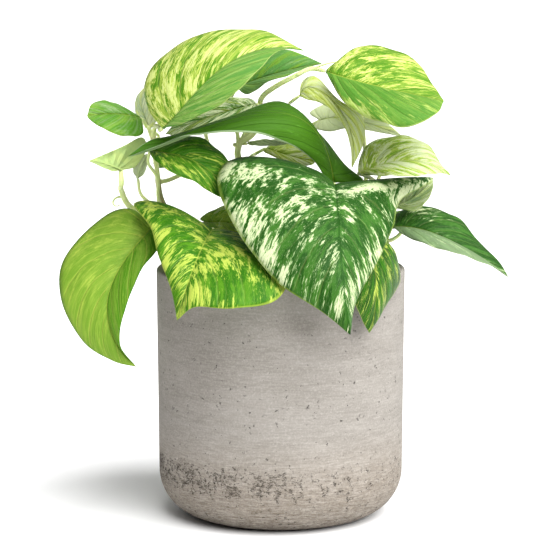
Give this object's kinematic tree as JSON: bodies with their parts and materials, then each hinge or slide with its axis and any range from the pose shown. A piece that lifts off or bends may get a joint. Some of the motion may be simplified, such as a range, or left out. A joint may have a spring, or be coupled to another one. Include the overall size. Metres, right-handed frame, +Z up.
{
  "type": "potted marble queen pothos",
  "caption": "Trailing foliage plant with waxy, marbled heart-shaped leaves on arching stalks, growing in soil in a round straight-sided concrete pot.",
  "frame": {"origin": "centre of the pot's flat foot, on the surface it stands on", "axes": "+Z up along the pot's axis, -Y towards the side that the large front leaf hangs over, +X to the right seen from there"},
  "size_m": [0.2698, 0.2189, 0.2953],
  "materials": {
    "concrete": "matt washed concrete, fine pits",
    "soil": "moist potting mix, crumbly",
    "stem": "satin green stem skin",
    "leaf_deep": "waxy deep green with cream flecks",
    "leaf_lime": "waxy lime and cream marbling on green",
    "leaf_fresh": "waxy fresh green",
    "leaf_pale": "waxy pale cream-green, streaked"
  },
  "bodies": {
    "root": {"pot": "concrete", "soil": "soil", "vine_left": "stem", "vine_centre": "stem", "vine_right": "stem", "vine_back": "stem", "leaf_front": "leaf_deep", "leaf_left_front": "leaf_lime", "leaf_left_low": "leaf_fresh", "leaf_top_left": "leaf_lime", "leaf_top_mid": "leaf_fresh", "leaf_top_right": "leaf_lime", "leaf_twisted": "leaf_pale", "leaf_pale_back": "leaf_pale", "leaf_right_mid": "leaf_lime", "leaf_arch": "leaf_fresh", "leaf_left_mid": "leaf_deep", "leaf_pale_left": "leaf_pale", "leaf_far_left": "leaf_fresh", "leaf_behind_left": "leaf_fresh", "leaf_yellow_left": "leaf_pale", "leaf_yellow_low": "leaf_pale", "leaf_shade_left": "leaf_deep", "leaf_right_back": "leaf_lime", "leaf_right_low": "leaf_deep", "leaf_rim_right": "leaf_lime", "leaf_pale_centre": "leaf_pale", "leaf_silver": "leaf_pale", "leaf_back_top": "leaf_fresh", "leaf_back_high_right": "leaf_fresh", "leaf_back_left_up": "leaf_fresh", "leaf_back_left_low": "leaf_fresh", "leaf_back_hang_left": "leaf_fresh", "leaf_back_hang_right": "leaf_fresh", "leaf_back_mid": "leaf_fresh", "leaf_back_right": "leaf_fresh", "leaf_back_up_right": "leaf_fresh"}
  },
  "joints": []
}
